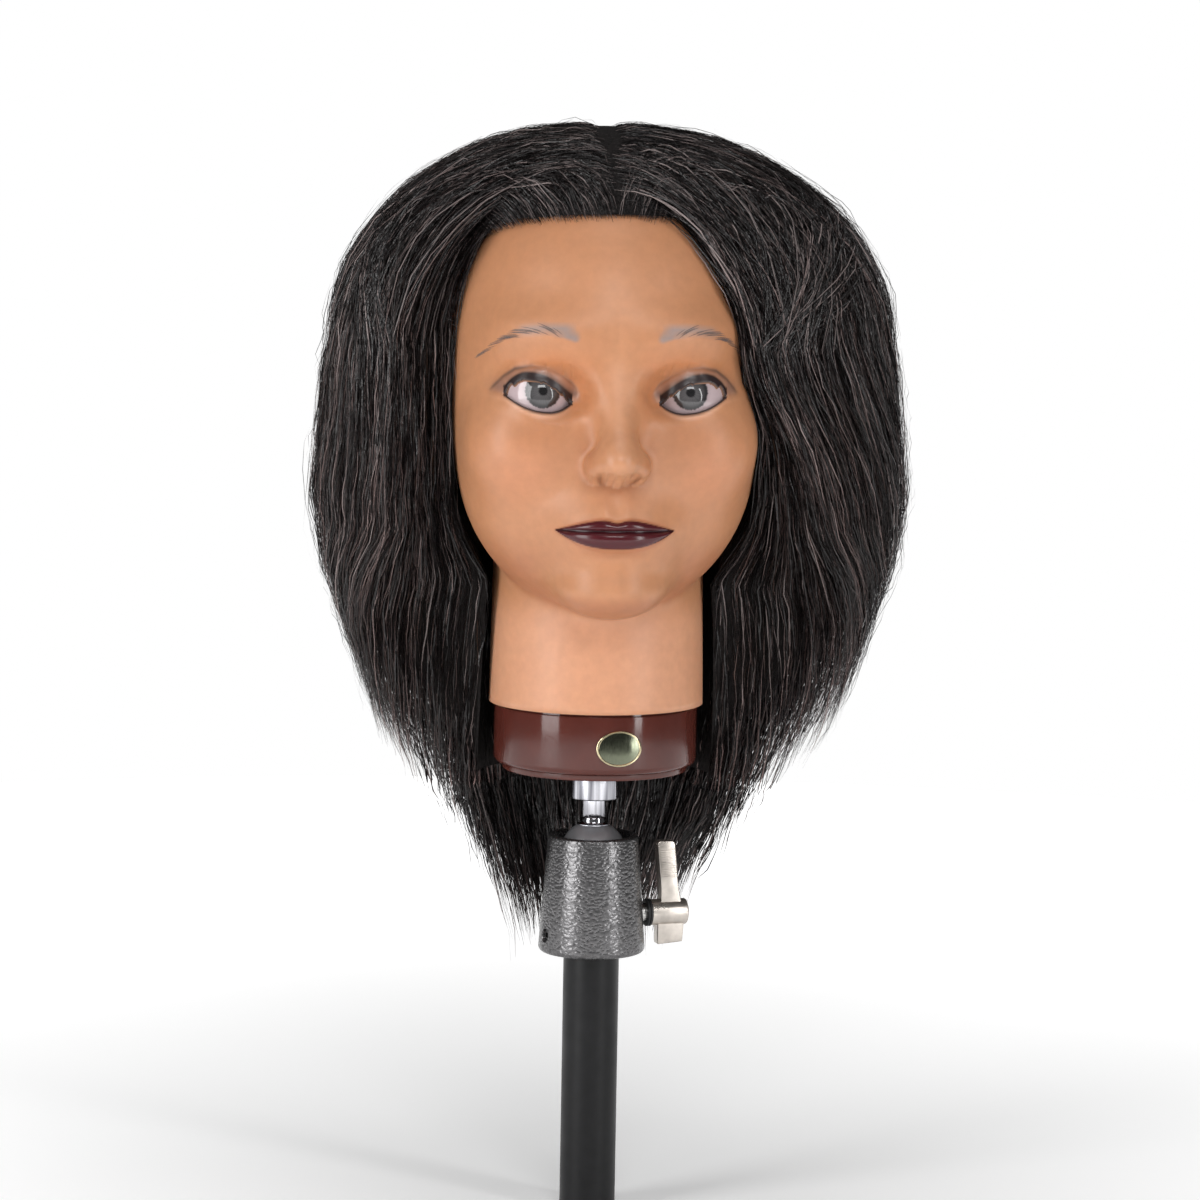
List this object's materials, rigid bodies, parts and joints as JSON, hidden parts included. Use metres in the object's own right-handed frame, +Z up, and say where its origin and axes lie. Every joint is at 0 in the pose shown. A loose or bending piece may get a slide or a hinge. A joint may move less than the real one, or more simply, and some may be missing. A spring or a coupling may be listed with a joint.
{
  "type": "mannequin training head",
  "caption": "Hairdressing training head with long dark hair, on a ball-joint holder with a clamp lever and the top length of its stand pole.",
  "frame": {"origin": "centre of the pole's lower end face, on the pole's axis", "axes": "+Z up along the pole and through the head's spigot; the face looks along -Y; +X is to the right of someone facing the mannequin"},
  "size_m": [0.2684, 0.2373, 0.4959],
  "materials": {
    "black_tube": "satin",
    "black_plastic": "satin",
    "hammertone_casting": "satin",
    "black_steel": "satin",
    "black_acetal": "satin",
    "bright_steel": "satin",
    "nickel_casting": "satin",
    "gunmetal": "polished",
    "polished_aluminium": "polished",
    "grey_rubber": "matte",
    "zinc_steel": "satin",
    "white_nylon": "satin",
    "brown_gloss": "gloss",
    "brushed_brass": "satin",
    "vinyl_skin": "satin",
    "rigid_foam": "matte",
    "eye_gloss": "gloss",
    "dark_hair": "matte"
  },
  "bodies": {
    "stand": {"pole": "black_tube", "pole_end_plug": "black_plastic", "pole_top_insert": "black_plastic", "clamp_housing": "hammertone_casting", "set_screw": "black_steel", "upper_seat_ring": "black_acetal"},
    "seat": {"ball_seat": "black_acetal"},
    "wedge": {"wedge_pin": "bright_steel"},
    "lever": {"lever": "nickel_casting", "clamp_screw": "bright_steel", "lever_washer": "black_plastic"},
    "ball": {"ball": "gunmetal"},
    "stud": {"stud": "polished_aluminium", "spigot_sleeve": "grey_rubber", "sleeve_washer": "zinc_steel", "sleeve_screw": "zinc_steel"},
    "head": {"socket_sleeve": "white_nylon", "neck_base": "brown_gloss", "base_plate": "brown_gloss", "base_screw_1": "zinc_steel", "base_screw_2": "zinc_steel", "base_screw_3": "zinc_steel", "badge": "brushed_brass", "head_skin": "vinyl_skin", "head_core": "rigid_foam", "eye_left": "eye_gloss", "eye_right": "eye_gloss", "hair_crown": "dark_hair", "hair_left": "dark_hair", "hair_right": "dark_hair", "hair_back": "dark_hair", "hair_back_tips": "dark_hair"}
  },
  "joints": [
    {"name": "head_lean", "type": "hinge", "parent": "stand", "child": "ball", "pos_m": [0, 0, 0.164], "axis": [-0.2079, 0.9781, 0], "range_deg": [-25, 25]},
    {"name": "head_drop", "type": "hinge", "parent": "ball", "child": "stud", "pos_m": [0, 0, 0.164], "axis": [-0.9781, -0.2079, 0], "range_deg": [-25, 90], "deforming": ["hair_back_tips"]},
    {"name": "head_turn", "type": "hinge", "parent": "stud", "child": "head", "pos_m": [0, 0, 0.203], "axis": [0, 0, 1], "continuous": true},
    {"name": "clamp_feed", "type": "slide", "parent": "stand", "child": "wedge", "axis": [0.9781, 0.2079, 0], "range_m": [0, 0.00113]},
    {"name": "lever_turn", "type": "hinge", "parent": "wedge", "child": "lever", "pos_m": [0, 0, 0.1356], "axis": [0.9781, 0.2079, 0], "range_deg": [0, 270]},
    {"name": "seat_drop", "type": "slide", "parent": "stand", "child": "seat", "axis": [0, 0, -1], "range_m": [0, 0.00113]}
  ],
  "couplings": [
    {"joint": "clamp_feed", "follows": "lever_turn", "m_per_rad": 0.00023873},
    {"joint": "seat_drop", "follows": "lever_turn", "m_per_rad": 0.00023873}
  ]
}
